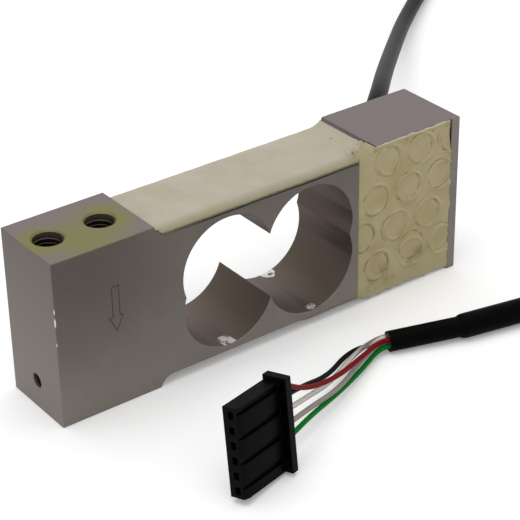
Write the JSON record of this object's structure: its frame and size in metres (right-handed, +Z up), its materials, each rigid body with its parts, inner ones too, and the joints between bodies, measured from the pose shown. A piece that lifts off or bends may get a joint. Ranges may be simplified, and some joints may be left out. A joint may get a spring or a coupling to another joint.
{
  "type": "load cell",
  "caption": "Single-point weighing load cell: milled aluminium bar with a multi-bore opening, potted strain gauges and a sheathed lead ending in a crimp connector.",
  "frame": {"origin": "middle of the bar's underside", "axes": "+X along the bar from the live end to the fixed end, where the cable leaves; -Y out of the face with the potted pocket; +Z up"},
  "size_m": [0.2376, 0.1475, 0.03],
  "materials": {
    "milled_aluminium": "fine milled, satin, with a clear anodised cast",
    "gauge_foil": "polyimide film carrying a foil grid",
    "solder_terminal": "bonded terminal strip with solder",
    "enamelled_wire": "copper wire with clear enamel",
    "circuit_board": "glass-fibre board with solder mask",
    "chip_resistor": "thick-film chip",
    "core_tails": "thin insulated strands",
    "gauge_silicone": "soft poured silicone with tiny pits",
    "pocket_silicone": "soft poured silicone with ring imprints",
    "cable_jacket": "smooth PVC, soft sheen",
    "shrink_sleeve": "shrunk polyolefin, satin",
    "red_insulation": "PVC",
    "black_insulation": "PVC",
    "clear_insulation": "clear PVC over bare strands",
    "white_insulation": "PVC",
    "green_insulation": "PVC",
    "connector_plastic": "moulded nylon",
    "contact_metal": "tinned phosphor bronze"
  },
  "bodies": {
    "root": {"spring_element": "milled_aluminium", "strain_gauge_top_live": "gauge_foil", "strain_gauge_top_fixed": "gauge_foil", "strain_gauge_bottom_live": "gauge_foil", "strain_gauge_bottom_fixed": "gauge_foil", "solder_terminal_top": "solder_terminal", "solder_terminal_bottom": "solder_terminal", "jumper_wires_top": "enamelled_wire", "jumper_wires_bottom": "enamelled_wire", "gauge_leads_top": "enamelled_wire", "gauge_leads_bottom": "enamelled_wire", "compensation_board": "circuit_board", "zero_trim_resistor": "chip_resistor", "span_trim_resistors": "chip_resistor", "temperature_resistor": "chip_resistor", "cable_core_tails": "core_tails", "top_gauge_potting": "gauge_silicone", "bottom_gauge_potting": "gauge_silicone", "side_pocket_potting": "pocket_silicone", "cable_jacket": "cable_jacket", "heat_shrink_sleeve": "shrink_sleeve", "wire_red": "red_insulation", "wire_black": "black_insulation", "wire_clear": "clear_insulation", "wire_white": "white_insulation", "wire_green": "green_insulation", "connector_housing": "connector_plastic", "crimp_contact_1": "contact_metal", "crimp_contact_2": "contact_metal", "crimp_contact_3": "contact_metal", "crimp_contact_4": "contact_metal", "crimp_contact_5": "contact_metal"}
  },
  "joints": []
}
